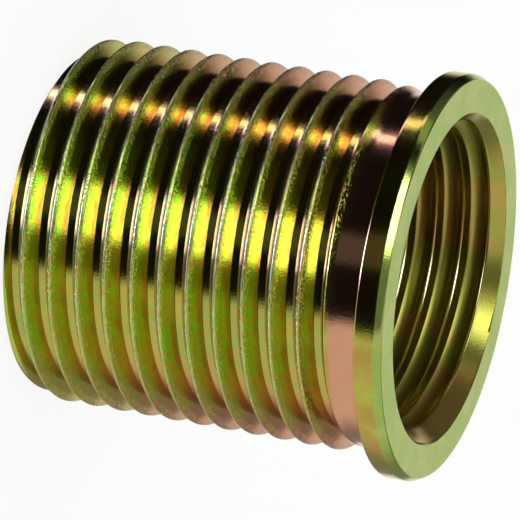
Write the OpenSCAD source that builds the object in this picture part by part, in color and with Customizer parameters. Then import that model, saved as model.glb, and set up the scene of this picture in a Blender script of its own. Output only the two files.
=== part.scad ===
// Threaded repair insert: a thin turned sleeve with right-hand thread of one pitch
// inside and outside, a plain neck, and a flange that seats in a counterbore.
// It stands on its threaded end with the flange up, and Z is its axis. Millimetres.

/* [Sleeve] */
// Overall length, from the threaded end to the face of the flange
length = 17.5; // [14:0.1:26]
// Lead-in chamfer round the outside of the threaded end, along the radius
end_chamfer_r = 0.4; // [0.1:0.05:0.6]
// The same chamfer, along the axis
end_chamfer_z = 0.9; // [0.2:0.05:1.2]
// Countersink round the bore at the threaded end
end_countersink = 0.5; // [0.1:0.05:0.6]

/* [Threads] */
// Pitch of both threads
pitch = 1.25; // [1:0.05:1.5]
// Nominal diameter of the inside thread, at its roots
inner_major_d = 14; // [8:0.5:30]
// Height of the crests of the inside thread above its roots
inner_depth = 0.55; // [0.4:0.01:0.55]
// How much wider the outside thread is than the inside one, over their nominal diameters
thread_step = 2; // [1.9:0.1:4]
// Azimuth at which a crest of the outside thread would cross the flange face, in degrees
outer_phase = -5; // [-180:0.2:180]
// Turn of the inside thread ahead of the outside one, which puts crest behind groove
inner_lead = 199; // [0:1:360]

/* [Neck] */
// How far the plain neck under the flange lies below the thread crests
neck_undercut = 0.35; // [0.1:0.05:0.5]
// Length of the plain neck
neck_length = 1.37; // [0.8:0.05:2.5]
// Length of the taper from the thread crests down to the neck
neck_taper = 0.9; // [0.3:0.05:1.5]
// Part of a turn over which the outside thread runs out
run_out = 0.4; // [0.1:0.05:0.5]

/* [Flange] */
// How far the rim of the flange stands out beyond the thread crests
flange_overhang = 0.8; // [0.4:0.1:3]
// Thickness of the flange
flange_t = 1.2; // [0.8:0.05:2]
// Chamfer round the face of the flange, along the radius
flange_chamfer_r = 0.2; // [0.05:0.01:0.4]
// Chamfer round the face of the flange, along the axis
flange_chamfer_z = 0.36; // [0.05:0.01:0.5]
// Radius on the rear edge of the flange
flange_rear_r = 0.1; // [0.02:0.01:0.3]
// How far the countersink opens beyond the roots of the inside thread
mouth_spread = 0.2; // [0.05:0.05:0.5]
// Slope of the countersink, from the axis in degrees
mouth_angle = 45; // [30:1:60]

/* [Hidden] */

// Straight segments in each turn of a thread
turn_steps = 32;
// Fineness of the turned surfaces
$fn = 96;

// Metric thread form: half of the 60 degree angle, depth and flats as shares of the pitch,
// with the outside crests half as wide as the standard's eighth, as cut to the loose limit
flank_angle = 30;
outer_depth = 0.6134 * pitch;
outer_crest_flat = pitch / 16;
inner_root_flat = pitch / 8;
// How far a thread cutter stands clear of the crests that it leaves
clear = 0.06;

inner_root_r = inner_major_d / 2;
bore_r = inner_root_r - inner_depth;
outer_r = inner_root_r + thread_step / 2;
outer_root_r = outer_r - outer_depth;
outer_root_flat = pitch - outer_crest_flat - 2 * outer_depth * tan(flank_angle);
neck_r = outer_r - neck_undercut;
flange_r = outer_r + flange_overhang;
mouth_r = inner_root_r + mouth_spread;
mouth_depth = (mouth_r - bore_r) / tan(mouth_angle);
neck_top = length - flange_t;
neck_bottom = neck_top - neck_length;

// Outline of the turned blank, from the bore at the threaded end round to the mouth
module blank_outline() {
    polygon([
        [bore_r, end_countersink],
        [bore_r + end_countersink, 0],
        [outer_r - end_chamfer_r, 0],
        [outer_r, end_chamfer_z],
        [outer_r, neck_bottom - neck_taper],
        [neck_r, neck_bottom],
        [neck_r, neck_top],
        for (a = [-90 : 30 : 0])
            [flange_r, neck_top] + flange_rear_r * [cos(a) - 1, sin(a) + 1],
        [flange_r, length - flange_chamfer_z],
        [flange_r - flange_chamfer_r, length],
        [mouth_r, length],
        [bore_r, length - mouth_depth]
    ]);
}

// Middle of a groove at a step along its helix, for a crest that crosses the flange face at phase
function groove_z(phase, i) = length + pitch * (i / turn_steps - phase / 360 - 0.5);

// Step at which that groove reaches a height
function step_at(phase, z) = turn_steps * ((z - length) / pitch + phase / 360 + 0.5);

// Section of a groove: flat at its root, with flanks that open over the rise to its mouth,
// which is outward where rise is above zero and inward below
function groove_section(root_r, rise, flat, z) =
    let (root = sign(rise) * flat / 2, mouth = root + rise * tan(flank_angle), mouth_r = root_r + rise)
        [[root_r, z - root], [root_r, z + root], [mouth_r, z + mouth], [mouth_r, z - mouth]];

// Solid swept round the axis through one section for each step from the first on
module helical_sweep(sections, first) {
    n = len(sections[0]);
    points = [
        for (i = [0 : len(sections) - 1], p = sections[i])
            let (a = 360 * (first + i) / turn_steps) [p.x * cos(a), p.x * sin(a), p.y]
    ];
    sides = [
        for (i = [0 : len(sections) - 2], j = [0 : n - 1])
            let (a = i * n + j, b = i * n + (j + 1) % n) each [[a, b + n, b], [a, a + n, b + n]]
    ];
    near_end = [for (j = [0 : n - 1]) j];
    far_end = [for (j = [n - 1 : -1 : 0]) (len(sections) - 1) * n + j];
    polyhedron(points, concat([near_end], sides, [far_end]));
}

// Cutter for the groove of the outside thread, which lifts out of the work over the run-out
module outer_groove() {
    first = floor(step_at(outer_phase, -pitch));
    last = floor(step_at(outer_phase, neck_bottom));
    run = run_out * turn_steps;
    helical_sweep([
        for (i = [first : last])
            let (lift = max(0, (i - last + run) / run) * (outer_depth + clear / 2))
                groove_section(
                    outer_root_r + lift, outer_depth + clear - lift,
                    outer_root_flat, groove_z(outer_phase, i)
                )
    ], first);
}

// Cutter for the groove of the inside thread, which goes right through
module inner_groove() {
    phase = outer_phase + inner_lead;
    first = floor(step_at(phase, -pitch));
    last = ceil(step_at(phase, length + pitch));
    helical_sweep([
        for (i = [first : last])
            groove_section(inner_root_r, bore_r - inner_root_r - clear, inner_root_flat, groove_z(phase, i))
    ], first);
}

module threaded_insert() {
    color("goldenrod")
    difference() {
        rotate_extrude() blank_outline();
        outer_groove();
        inner_groove();
    }
}

threaded_insert();
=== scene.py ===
# Threaded insert: the full threads, the turned flange and its yellow-green zinc plating
from math import atan2, cos, radians, sin, tan, tau

import bmesh
import bpy
from mathutils import Matrix, Vector

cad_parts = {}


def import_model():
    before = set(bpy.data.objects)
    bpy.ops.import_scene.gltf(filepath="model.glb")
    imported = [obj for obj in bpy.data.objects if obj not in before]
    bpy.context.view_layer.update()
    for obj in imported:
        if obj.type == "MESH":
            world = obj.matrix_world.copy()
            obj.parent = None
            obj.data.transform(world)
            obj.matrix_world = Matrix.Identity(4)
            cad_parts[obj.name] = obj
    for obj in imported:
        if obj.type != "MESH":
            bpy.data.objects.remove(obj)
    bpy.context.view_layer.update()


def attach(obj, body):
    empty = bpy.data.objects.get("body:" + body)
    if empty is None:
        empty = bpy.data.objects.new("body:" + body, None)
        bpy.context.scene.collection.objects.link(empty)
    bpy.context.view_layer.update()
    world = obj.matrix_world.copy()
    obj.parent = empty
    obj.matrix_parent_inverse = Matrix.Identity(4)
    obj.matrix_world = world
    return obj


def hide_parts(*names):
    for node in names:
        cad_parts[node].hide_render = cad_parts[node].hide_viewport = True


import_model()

MM = 0.001

# Sleeve, in millimetres from the axis and up from the threaded end
LENGTH = 17.5
BORE_R = 6.45
CREST_R = 8.0
END_CHAMFER_R = 0.4
END_CHAMFER_Z = 0.9
END_COUNTERSINK = 0.5

# Both threads, with the turn at which a crest of each would cross the flange face
PITCH = 1.25
FLANK = radians(30)
OUTER_ROOT_R = 7.233
OUTER_ROOT_FLAT = 0.286
OUTER_PHASE = -5 / 360
INNER_ROOT_R = 7.0
INNER_ROOT_FLAT = PITCH / 8
INNER_PHASE = 194 / 360
RUN_OUT = 0.4

# Neck, flange and mouth
NECK_R = 7.65
NECK_BOTTOM = 14.93
NECK_TOP = 16.3
NECK_TAPER = 0.9
# Where the threaded wall meets the plain one, clear of the taper
NECK_JOIN = 15.3
FLANGE_R = 8.8
FLANGE_CHAMFER_R = 0.2
FLANGE_CHAMFER_Z = 0.36
CHAMFER_Z = LENGTH - FLANGE_CHAMFER_Z
MOUTH_R = 7.2

# Rounding left on edges by the cutting tools and the plating
CREST_BLEND = 0.1
BORE_BLEND = 0.2
EDGE_BLEND = 0.06
RIM_ROUND = 0.06
ROUND_STEPS = 3
# Distance from a rounded corner to the edge that keeps the wall beside it flat
SUPPORT = 0.03

# Flat steps round the axis
COLUMNS = 144
# Rows of points across half a pitch, measured from the middle of a groove
OUTER_ROWS = (0, 0.08, 0.125, OUTER_ROOT_FLAT / 2, 0.161, 0.2, 0.31, 0.41, 0.49, 0.53, 0.56, 0.585, 0.605)
INNER_ROWS = (0, 0.04, INNER_ROOT_FLAT / 2, 0.12, 0.2, 0.28, 0.33, 0.37, 0.4, 0.43, 0.47, 0.53)

# Colours of the plating on the flanks, in the roots, on the crests and at a slant
GREEN = (0.33, 0.49, 0.055)
BROWN = (0.40, 0.27, 0.06)
GOLD = (0.50, 0.44, 0.07)
ROOT_GOLD = (0.33, 0.38, 0.08)
PALE = (0.48, 0.54, 0.24)
ORANGE = (0.60, 0.25, 0.08)
PINK = (0.50, 0.19, 0.13)
# Its colours on the neck, in the bore and on the face of the flange. The bore's gold is darker than the
# gold outside, as painted shade inside the bore
NECK_PINK = (0.60, 0.29, 0.19)
SHADED_INSIDE_GOLD = (0.30, 0.30, 0.05)
INSIDE_BROWN = (0.42, 0.26, 0.07)
FACE_GREEN = (0.29, 0.40, 0.08)
FACE_PALE = (0.37, 0.43, 0.12)
# What every colour turns to where it is seen edge on
EDGE_TINT = (0.9, 0.9, 0.78)

# Soft steps over which the plating changes, from where a change starts to where it is complete.
# These are radii:
BORE_STEP = (MOUTH_R + 0.02, MOUTH_R - 0.01)
OUTSIDE_STEP = (MOUTH_R - 0.01, MOUTH_R + 0.02)
ROOT_STEP = (7.34, 7.27)
FLANK_STEP = (7.35, 7.65)
NEAR_CREST_STEP = (7.65, 7.9)
UNDER_CREST_STEP = (7.7, 7.9)
CREST_STEP = (CREST_R - 0.06, CREST_R - 0.01)
# These are heights:
PINKER_STEP = (0, 9)
THREADED_STEP = (NECK_BOTTOM, NECK_BOTTOM - NECK_TAPER)
WORN_STEP = (15, 14)
NECK_STEP = (NECK_BOTTOM - 0.3, NECK_BOTTOM)
BELOW_RIM_STEP = (NECK_TOP + 0.06, NECK_TOP - 0.02)
FACE_STEP = (CHAMFER_Z - 0.02, CHAMFER_Z + 0.02)
BELOW_MOUTH_STEP = (LENGTH - 0.7, LENGTH - 0.8)
# These are how far a surface faces up the axis:
DOWNWARD_STEP = (-0.2, -0.5)
UPWARD_STEP = (0.2, 0.5)
# These are levels of a pattern or of the slant:
GREEN_STEP = (-0.35, 0.65)
GOLD_STEP = (0.45, 0.65)
MOTTLE_STEP = (0.46, 0.66)
BORE_BROWN_STEP = (0.4, 0.62)
ORANGE_STEP = (0.26, 0.48)
PINK_STEP = (0.42, 0.66)
FACE_PALE_STEP = (0.4, 0.65)
SPECK_STEP = (0.5, 0.66)

# The most that each colour covers of the ones under it
GOLD_SHARE = 0.4
MOTTLE_SHARE = 0.42
BORE_SHARE = 0.8
ORANGE_SHARE = 0.4
PINK_SHARE = 0.9
NECK_SHARE = 0.85
CREST_SHARE = 0.45
# Share of the slant's colours at the threaded end, from which it rises to 1
LEAST_PINK = 0.25

# Features of the plating's patterns in each millimetre
DRIFTS = 0.16
CLOUDS = 0.7
MOTTLES = 3.5
GRAINS = 13

# Roughness of the plating, and what it gains on the lower flanks, in the bore and towards the mouth
SMOOTH = 0.12
UNDER_ROUGHER = 0.1
INSIDE_ROUGHER = 0.08
TO_MOUTH_ROUGHER = 0.2
# Height of the grain, in millimetres, and its share away from the crests
GRAIN_HEIGHT = 0.015
SMOOTH_GRAIN = 0.05

# What the plating mirrors is a ring of cards. Each card has the degrees round the axis at which it
# begins, is full, starts to fade and ends, from -X, the picture's top, towards -Y, the camera. The next
# four are the same along the axis, where -1 lies past the threaded end and 1 past the flange. The last
# is its strength. A value beyond -1 or 1 leaves that side open.
EVERYWHERE = (-3, -2, 2, 3)
# The window beside the camera, which two flanks show between them
WINDOW_CARDS = (
    ((57, 65, 95, 103), (-3, -2, -0.63, -0.56), 10),
)
WINDOW_COLOUR = (1.1, 1, 3.2)
# The lamp above, as two flanks show it
FLANK_LAMP_CARDS = (
    ((-9, -7, 0, 3), (-0.62, -0.52, -0.42, -0.36), 5.5),
)
FLANK_LAMP_COLOUR = (1.4, 0.68, 4)
PLAIN_CARDS = (
    # The lamp above, as the crests and the neck show it
    ((-7, -6, -1, 1), (-0.6, -0.45, 0.1, 0.3), 3),
    # Bright spots on the chamfer of the flange and in the countersink, and the glow round them
    ((24, 36, 70, 82), (0.5, 0.58, 0.68, 0.78), 6),
    ((8, 20, 40, 60), (0.86, 0.93, 2, 3), 4),
    ((12, 32, 58, 85), (0.45, 0.62, 0.93, 1.1), 1),
    ((60, 75, 118, 125), (0.45, 0.65, 0.9, 1), 0.35),
    # Glows beside the lamp and the window
    ((-14, -9, 2, 8), (0.1, 0.25, 0.8, 0.9), 0.6),
    ((5, 25, 60, 70), (-3, -2, -0.62, -0.48), 0.1),
    ((88, 102, 121, 130), (-3, -2, -0.62, -0.48), 0.6),
    # White below the insert and white behind it
    ((121, 130, 190, 230), (-3, -2, -0.56, -0.46), 0.15),
    ((121, 130, 195, 225), EVERYWHERE, 0.6),
    ((121, 130, 243, 246), EVERYWHERE, 0.35),
    ((243, 246, 286, 299), EVERYWHERE, 1.0),
    # Faint strip on the neck
    ((66, 72, 86, 90), (-0.5, -0.4, 0.3, 0.4), 0.12),
    # Faint strip in the countersink, in two parts because the count of degrees starts inside it
    ((-30, -29, -16, -10), (0.05, 0.4, 1.2, 1.3), 0.15),
    ((298, 302, 330, 331), (0.05, 0.4, 1.2, 1.3), 0.15),
)
WHITE = (1, 1, 1)
# Strength of the dark between the cards
DARK = 0.01
# The count of degrees round the axis starts at minus this
COUNT_START = 30

# How much of the floor's own shading the camera loses to plain white
WHITENESS = 0.85
FLOOR_COLOUR = (0.9, 0.9, 0.9)
# Half the floor's side, in metres
FLOOR_REACH = 2

# The photograph's camera, in millimetres, with the directions of the picture's right and top
CAMERA_PLACE = Vector((-11.9426, -211.7019, 83.2492))
CAMERA_RIGHT = Vector((-0.14618, 0.33572, 0.93055))
CAMERA_TOP = Vector((-0.98770, 0.00327, -0.15633))
CAMERA_LENS = 360.328
CAMERA_SENSOR = 36


def blunt_min(a, b, blend):
    """The smaller of two heights, with the corner between them rounded off."""
    overlap = max(blend - abs(a - b), 0)
    return min(a, b) - overlap * overlap / (4 * blend)


def blunt_max(a, b, blend):
    """The larger of two heights, with the corner between them filled in."""
    return -blunt_min(-a, -b, blend)


def from_groove(z, turn, phase):
    """Distance along the axis from the middle of the nearest groove of a thread."""
    turns = (z - LENGTH) / PITCH - turn + phase + 0.5
    return (turns - round(turns)) * PITCH


def groove_rise(offset, root_flat):
    """Height of the flank above the root of its groove."""
    return max(0, (abs(offset) - root_flat / 2) / tan(FLANK))


def outside_radius(turn, z):
    """Radius of the outside thread, from the threaded end to the neck."""
    taper = CREST_R - (CREST_R - NECK_R) * (z - NECK_BOTTOM + NECK_TAPER) / NECK_TAPER
    blank = blunt_min(CREST_R, blunt_max(taper, NECK_R, EDGE_BLEND), EDGE_BLEND)
    lead_in = CREST_R - END_CHAMFER_R * (1 - z / END_CHAMFER_Z)
    blank = blunt_min(blank, lead_in, EDGE_BLEND)
    offset = from_groove(z, turn, OUTER_PHASE)
    ran_out = max(0, 1 - (NECK_BOTTOM - z + offset) / (PITCH * RUN_OUT))
    root = OUTER_ROOT_R + ran_out * (CREST_R - OUTER_ROOT_R)
    return blunt_min(blank, root + groove_rise(offset, OUTER_ROOT_FLAT), CREST_BLEND)


def inside_radius(turn, z):
    """Radius of the inside thread, with the countersinks at its two ends."""
    blank = blunt_max(BORE_R, MOUTH_R - LENGTH + z, EDGE_BLEND)
    blank = blunt_max(blank, BORE_R + END_COUNTERSINK - z, EDGE_BLEND)
    rise = groove_rise(from_groove(z, turn, INNER_PHASE), INNER_ROOT_FLAT)
    return blunt_max(blank, INNER_ROOT_R - rise, BORE_BLEND)


def wire(bm, points):
    """A line of edges through points given as radius and height."""
    verts = [bm.verts.new((r, 0, z)) for r, z in points]
    for a, b in zip(verts, verts[1:]):
        bm.edges.new((a, b))
    return verts


def thread_wall(phase, half_rows, root_flat, top, radius):
    """A thread's surface: a wire of all its turns swept once round while it climbs by a pitch.

    The edges of its root flats stay sharp, and the rest is smooth.
    """
    bm = bmesh.new()
    rows = sorted({side * row for row in half_rows for side in (-1, 1)} | {PITCH / 2})
    turns = range(-int(LENGTH / PITCH) - 3, 3)
    middles = [LENGTH + PITCH * (k - phase - 0.5) for k in turns]
    line = wire(bm, [(BORE_R, middle + row) for middle in middles for row in rows])
    climb = PITCH / COLUMNS
    bmesh.ops.spin(bm, geom=line + bm.edges[:], cent=(0, 0, 0), axis=(0, 0, 1), dvec=(0, 0, climb),
                   angle=tau, steps=COLUMNS)
    corners = set()
    for vert in bm.verts:
        angle = atan2(vert.co.y, vert.co.x)
        z = min(max(vert.co.z, 0), top)
        if abs(abs(from_groove(z, angle / tau, phase)) - root_flat / 2) < 0.001:
            corners.add(vert)
        r = radius(angle / tau, z)
        vert.co = (r * cos(angle), r * sin(angle), z)
    for edge in bm.edges:
        edge.smooth = not corners.issuperset(edge.verts)
    bmesh.ops.remove_doubles(bm, verts=bm.verts, dist=0.0001)
    return bm


def close_end(bm):
    """The flat threaded end, drawn in from the outside thread's lowest edge to the bore."""
    lowest = [edge for edge in bm.edges if edge.is_boundary and edge.verts[0].co.z == 0]
    for edge in lowest:
        edge.smooth = False
    drawn = bmesh.ops.extrude_edge_only(bm, edges=lowest)["geom"]
    for vert in (part for part in drawn if isinstance(part, bmesh.types.BMVert)):
        angle = atan2(vert.co.y, vert.co.x)
        r = inside_radius(angle / tau, 0)
        vert.co = (r * cos(angle), r * sin(angle), 0)


def flange_wall():
    """The neck, the flange and its face, turned from one outline with rounded corners."""
    bm = bmesh.new()
    line = wire(bm, [
        (NECK_R, NECK_JOIN),
        (NECK_R, NECK_TOP),
        (FLANGE_R, NECK_TOP),
        (FLANGE_R, CHAMFER_Z),
        (FLANGE_R - FLANGE_CHAMFER_R, LENGTH),
        (MOUTH_R, LENGTH),
    ])
    bmesh.ops.bevel(bm, geom=line[1:-1], offset=RIM_ROUND, segments=ROUND_STEPS, profile=0.5,
                    affect="VERTICES", material=-1)
    for edge in bm.edges[:]:
        length = edge.calc_length()
        if length > 4 * SUPPORT:
            first, last = edge.verts
            near, _ = bmesh.utils.edge_split(edge, first, SUPPORT / length)
            rest = near if last in near.verts else edge
            bmesh.utils.edge_split(rest, last, SUPPORT / (length - SUPPORT))
    bmesh.ops.spin(bm, geom=bm.verts[:] + bm.edges[:], cent=(0, 0, 0), axis=(0, 0, 1),
                   angle=tau, steps=COLUMNS, use_merge=True)
    return bm


def joined(parts):
    """One bmesh from several, with the seams between them closed."""
    whole = bmesh.new()
    for part in parts:
        mesh = bpy.data.meshes.new("part")
        part.to_mesh(mesh)
        whole.from_mesh(mesh)
        part.free()
        bpy.data.meshes.remove(mesh)
    bmesh.ops.remove_doubles(whole, verts=whole.verts, dist=0.0005)
    return whole


def insert_mesh():
    """The whole insert as one closed shell."""
    outside = thread_wall(OUTER_PHASE, OUTER_ROWS, OUTER_ROOT_FLAT, NECK_JOIN, outside_radius)
    close_end(outside)
    inside = thread_wall(INNER_PHASE, INNER_ROWS, INNER_ROOT_FLAT, LENGTH, inside_radius)
    bm = joined([outside, flange_wall(), inside])
    bmesh.ops.recalc_face_normals(bm, faces=bm.faces)
    bmesh.ops.scale(bm, vec=(MM, MM, MM), verts=bm.verts)
    for face in bm.faces:
        face.smooth = True
    mesh = bpy.data.meshes.new("insert_body")
    bm.to_mesh(mesh)
    bm.free()
    return mesh


def add(name, mesh):
    """An object in the scene that holds this mesh."""
    thing = bpy.data.objects.new(name, mesh)
    bpy.context.scene.collection.objects.link(thing)
    return thing


def join(tree, source, target):
    """A wire from one node's result to another's socket."""
    tree.links.new(source, target)


def calculate(tree, operation, *values):
    """The result of one Math node, whose inputs are plain numbers or other nodes' results."""
    node = tree.nodes.new("ShaderNodeMath")
    node.operation = operation
    for socket, value in zip(node.inputs, values):
        if isinstance(value, (int, float)):
            socket.default_value = value
        else:
            join(tree, value, socket)
    return node.outputs[0]


def product(tree, *values):
    """All the values multiplied together."""
    result = values[0]
    for value in values[1:]:
        result = calculate(tree, "MULTIPLY", result, value)
    return result


def total(tree, *values):
    """All the values added together."""
    result = values[0]
    for value in values[1:]:
        result = calculate(tree, "ADD", result, value)
    return result


def edge_up(tree, value, step):
    """A soft step from 0 to 1 between the two values of the step, of which either may be the larger."""
    node = tree.nodes.new("ShaderNodeMapRange")
    node.interpolation_type = "SMOOTHSTEP"
    node.inputs["From Min"].default_value = step[0]
    node.inputs["From Max"].default_value = step[1]
    join(tree, value, node.inputs["Value"])
    return node.outputs["Result"]


def noise(tree, where, features, detail):
    """Noise between 0 and 1, with so many features in each millimetre."""
    node = tree.nodes.new("ShaderNodeTexNoise")
    node.inputs["Scale"].default_value = features / MM
    node.inputs["Detail"].default_value = detail
    join(tree, where, node.inputs["Vector"])
    return node.outputs["Fac"]


def centred(tree, value, width):
    """A value between 0 and 1 moved to lie round 0 and made this wide."""
    return product(tree, calculate(tree, "SUBTRACT", value, 0.5), width)


def blend(tree, share, first, second):
    """Between two colours, each a plain colour or another node's result."""
    node = tree.nodes.new("ShaderNodeMix")
    node.data_type = "RGBA"
    join(tree, share, node.inputs["Factor"])
    for name, colour in (("A", first), ("B", second)):
        socket = next(s for s in node.inputs if s.name == name and s.type == "RGBA")
        if isinstance(colour, tuple):
            socket.default_value = (*colour, 1)
        else:
            join(tree, colour, socket)
    return next(s for s in node.outputs if s.type == "RGBA")


def plating():
    """Zinc plating with a yellow-green passivate, rougher on the crests and pinker at a slant."""
    material = bpy.data.materials.new("yellow_zinc")
    material.use_nodes = True
    tree = material.node_tree
    shader = tree.nodes["Principled BSDF"]
    coordinates = tree.nodes.new("ShaderNodeTexCoord")
    where = coordinates.outputs["Object"]
    place = tree.nodes.new("ShaderNodeSeparateXYZ")
    join(tree, where, place.inputs[0])
    x, y, z = place.outputs
    squares = total(tree, product(tree, x, x), product(tree, y, y))
    radius = calculate(tree, "DIVIDE", calculate(tree, "SQRT", squares), MM)
    height = calculate(tree, "DIVIDE", z, MM)
    facing = tree.nodes.new("ShaderNodeSeparateXYZ")
    join(tree, coordinates.outputs["Normal"], facing.inputs[0])
    facing_up = facing.outputs["Z"]
    slant = tree.nodes.new("ShaderNodeLayerWeight").outputs["Facing"]

    # Masks for the places on the insert
    inside = edge_up(tree, radius, BORE_STEP)
    outside = edge_up(tree, radius, OUTSIDE_STEP)
    threaded = edge_up(tree, height, THREADED_STEP)
    roots = edge_up(tree, radius, ROOT_STEP)
    upper_flanks = product(tree, edge_up(tree, radius, FLANK_STEP), threaded)
    near_crests = product(tree, edge_up(tree, radius, NEAR_CREST_STEP), threaded)
    crests = product(tree, edge_up(tree, radius, CREST_STEP), edge_up(tree, height, WORN_STEP))
    under = product(tree, edge_up(tree, facing_up, DOWNWARD_STEP),
                    edge_up(tree, radius, UNDER_CREST_STEP), threaded)
    below_rim = product(tree, edge_up(tree, height, BELOW_RIM_STEP), outside)
    neck = product(tree, edge_up(tree, height, NECK_STEP), below_rim)
    face = product(tree, edge_up(tree, height, FACE_STEP), outside)
    pinker = product(tree, edge_up(tree, height, PINKER_STEP), 1 - LEAST_PINK)
    slanted = product(tree, total(tree, pinker, LEAST_PINK), below_rim)
    to_mouth = product(tree, edge_up(tree, height, BELOW_MOUTH_STEP),
                       edge_up(tree, facing_up, UPWARD_STEP), inside)

    # Patterns of the plating
    drift = noise(tree, where, DRIFTS, 2)
    cloud = noise(tree, where, CLOUDS, 3)
    mottle = noise(tree, where, MOTTLES, 3)
    grain = noise(tree, where, GRAINS, 1)
    patches = total(tree, drift, centred(tree, cloud, 0.8))
    slant = total(tree, slant, centred(tree, cloud, 0.3))

    # Colours, each over the ones before it
    flank = total(tree, upper_flanks, centred(tree, cloud, 2))
    # The bore's colour: its darker gold is painted shade inside the bore, mixed in patches with a brown
    bore = blend(tree, edge_up(tree, patches, BORE_BROWN_STEP), SHADED_INSIDE_GOLD, INSIDE_BROWN)
    plain_face = blend(tree, edge_up(tree, cloud, FACE_PALE_STEP), FACE_GREEN, FACE_PALE)
    colour = blend(tree, edge_up(tree, flank, GREEN_STEP), BROWN, GREEN)
    for share, over in (
        (roots, ROOT_GOLD),
        (product(tree, edge_up(tree, patches, GOLD_STEP), GOLD_SHARE), GOLD),
        (product(tree, edge_up(tree, mottle, MOTTLE_STEP), MOTTLE_SHARE), ORANGE),
        # The bore, whose darker gold is painted shade
        (product(tree, inside, BORE_SHARE), bore),
        (product(tree, edge_up(tree, slant, ORANGE_STEP), slanted, ORANGE_SHARE), ORANGE),
        (product(tree, edge_up(tree, slant, PINK_STEP), slanted, PINK_SHARE), PINK),
        (product(tree, neck, NECK_SHARE), NECK_PINK),
        (calculate(tree, "MAXIMUM", product(tree, crests, CREST_SHARE), under), PALE),
        (face, plain_face),
    ):
        colour = blend(tree, share, colour, over)
    join(tree, colour, shader.inputs["Base Color"])
    shader.inputs["Metallic"].default_value = 1
    shader.inputs["Specular Tint"].default_value = (*EDGE_TINT, 1)

    roughness = SMOOTH
    for place, more in ((under, UNDER_ROUGHER), (inside, INSIDE_ROUGHER), (to_mouth, TO_MOUTH_ROUGHER)):
        roughness = total(tree, product(tree, place, more), roughness)
    join(tree, roughness, shader.inputs["Roughness"])

    bump = tree.nodes.new("ShaderNodeBump")
    bump.inputs["Distance"].default_value = GRAIN_HEIGHT * MM
    bump.inputs["Strength"].default_value = 1
    specks = product(tree, edge_up(tree, grain, SPECK_STEP), total(tree, near_crests, SMOOTH_GRAIN))
    join(tree, specks, bump.inputs["Height"])
    join(tree, bump.outputs[0], shader.inputs["Normal"])
    return material


def floor():
    """A floor that shows white with a faint shadow, and that the plating doesn't mirror."""
    bm = bmesh.new()
    bmesh.ops.create_grid(bm, x_segments=1, y_segments=1, size=FLOOR_REACH)
    mesh = bpy.data.meshes.new("floor")
    bm.to_mesh(mesh)
    bm.free()
    ground = add("floor", mesh)
    material = bpy.data.materials.new("floor_white")
    material.use_nodes = True
    tree = material.node_tree
    shader = tree.nodes["Principled BSDF"]
    shader.inputs["Base Color"].default_value = (*FLOOR_COLOUR, 1)
    shader.inputs["Specular IOR Level"].default_value = 0
    white = tree.nodes.new("ShaderNodeEmission")
    path = tree.nodes.new("ShaderNodeLightPath")
    mix = tree.nodes.new("ShaderNodeMixShader")
    join(tree, product(tree, path.outputs["Is Camera Ray"], WHITENESS), mix.inputs[0])
    join(tree, shader.outputs[0], mix.inputs[1])
    join(tree, white.outputs[0], mix.inputs[2])
    join(tree, mix.outputs[0], tree.nodes["Material Output"].inputs["Surface"])
    mesh.materials.append(material)
    ground.visible_glossy = False


def camera():
    """The photograph's view, with the insert's axis across the picture."""
    data = bpy.data.cameras.new("camera")
    data.lens = CAMERA_LENS
    data.sensor_width = CAMERA_SENSOR
    data.clip_start = 0.01
    view = bpy.data.objects.new("camera", data)
    backward = CAMERA_RIGHT.cross(CAMERA_TOP)
    turn = Matrix((CAMERA_RIGHT, CAMERA_TOP, backward)).transposed().to_4x4()
    view.matrix_world = Matrix.Translation(CAMERA_PLACE * MM) @ turn
    bpy.context.scene.collection.objects.link(view)
    bpy.context.scene.camera = view


def card(tree, around, along, turn, reach, strength):
    """Light from one card, for a direction given as degrees round the axis and share along it."""
    light = strength
    for value, (begins, full, fades, ends) in ((around, turn), (along, reach)):
        light = product(tree, edge_up(tree, value, (begins, full)),
                        edge_up(tree, value, (ends, fades)), light)
    return light


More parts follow.
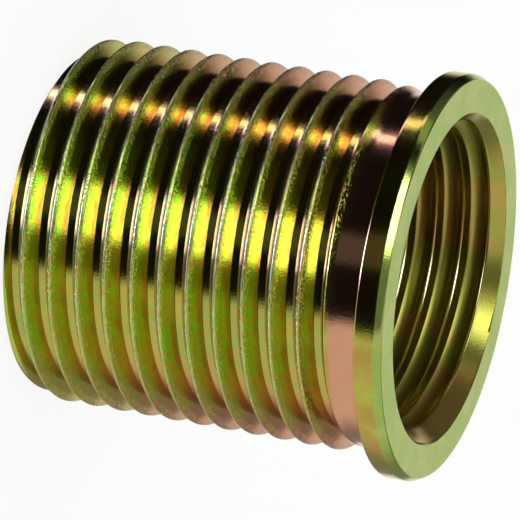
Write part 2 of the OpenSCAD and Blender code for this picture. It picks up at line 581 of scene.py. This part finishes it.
def studio_light(tree, around, along, colour, dark, cards):
    """A background of this colour, as strong as all the cards and the dark between them."""
    light = dark
    for turn, reach, strength in cards:
        light = total(tree, card(tree, around, along, turn, reach, strength), light)
    background = tree.nodes.new("ShaderNodeBackground")
    background.inputs["Color"].default_value = (*colour, 1)
    join(tree, light, background.inputs["Strength"])
    return background.outputs[0]


def world():
    """White surroundings, in which the plating mirrors the lamps, cards and dark of a small studio."""
    surroundings = bpy.data.worlds.new("studio")
    bpy.context.scene.world = surroundings
    surroundings.use_nodes = True
    tree = surroundings.node_tree
    nodes = tree.nodes
    where = nodes.new("ShaderNodeTexCoord")
    split = nodes.new("ShaderNodeSeparateXYZ")
    join(tree, where.outputs["Generated"], split.inputs[0])
    above = product(tree, split.outputs["X"], -1)
    front = product(tree, split.outputs["Y"], -1)
    along = split.outputs["Z"]
    angle = calculate(tree, "DEGREES", calculate(tree, "ARCTAN2", front, above))
    counted = calculate(tree, "FLOORED_MODULO", total(tree, angle, COUNT_START), 360)
    around = calculate(tree, "SUBTRACT", counted, COUNT_START)
    mirrored = studio_light(tree, around, along, WHITE, DARK, PLAIN_CARDS)
    for colour, cards in ((WINDOW_COLOUR, WINDOW_CARDS), (FLANK_LAMP_COLOUR, FLANK_LAMP_CARDS)):
        both = nodes.new("ShaderNodeAddShader")
        join(tree, mirrored, both.inputs[0])
        join(tree, studio_light(tree, around, along, colour, 0, cards), both.inputs[1])
        mirrored = both.outputs[0]
    plain = nodes["Background"]
    plain.inputs["Color"].default_value = (*WHITE, 1)
    path = nodes.new("ShaderNodeLightPath")
    mix = nodes.new("ShaderNodeMixShader")
    join(tree, path.outputs["Is Glossy Ray"], mix.inputs[0])
    join(tree, plain.outputs[0], mix.inputs[1])
    join(tree, mirrored, mix.inputs[2])
    join(tree, mix.outputs[0], nodes["World Output"].inputs["Surface"])


camera()
world()
floor()

insert = add("insert_body", insert_mesh())
insert.data.materials.append(plating())
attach(insert, "root")
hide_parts("threaded_insert")

bpy.context.scene.view_settings.view_transform = "Standard"
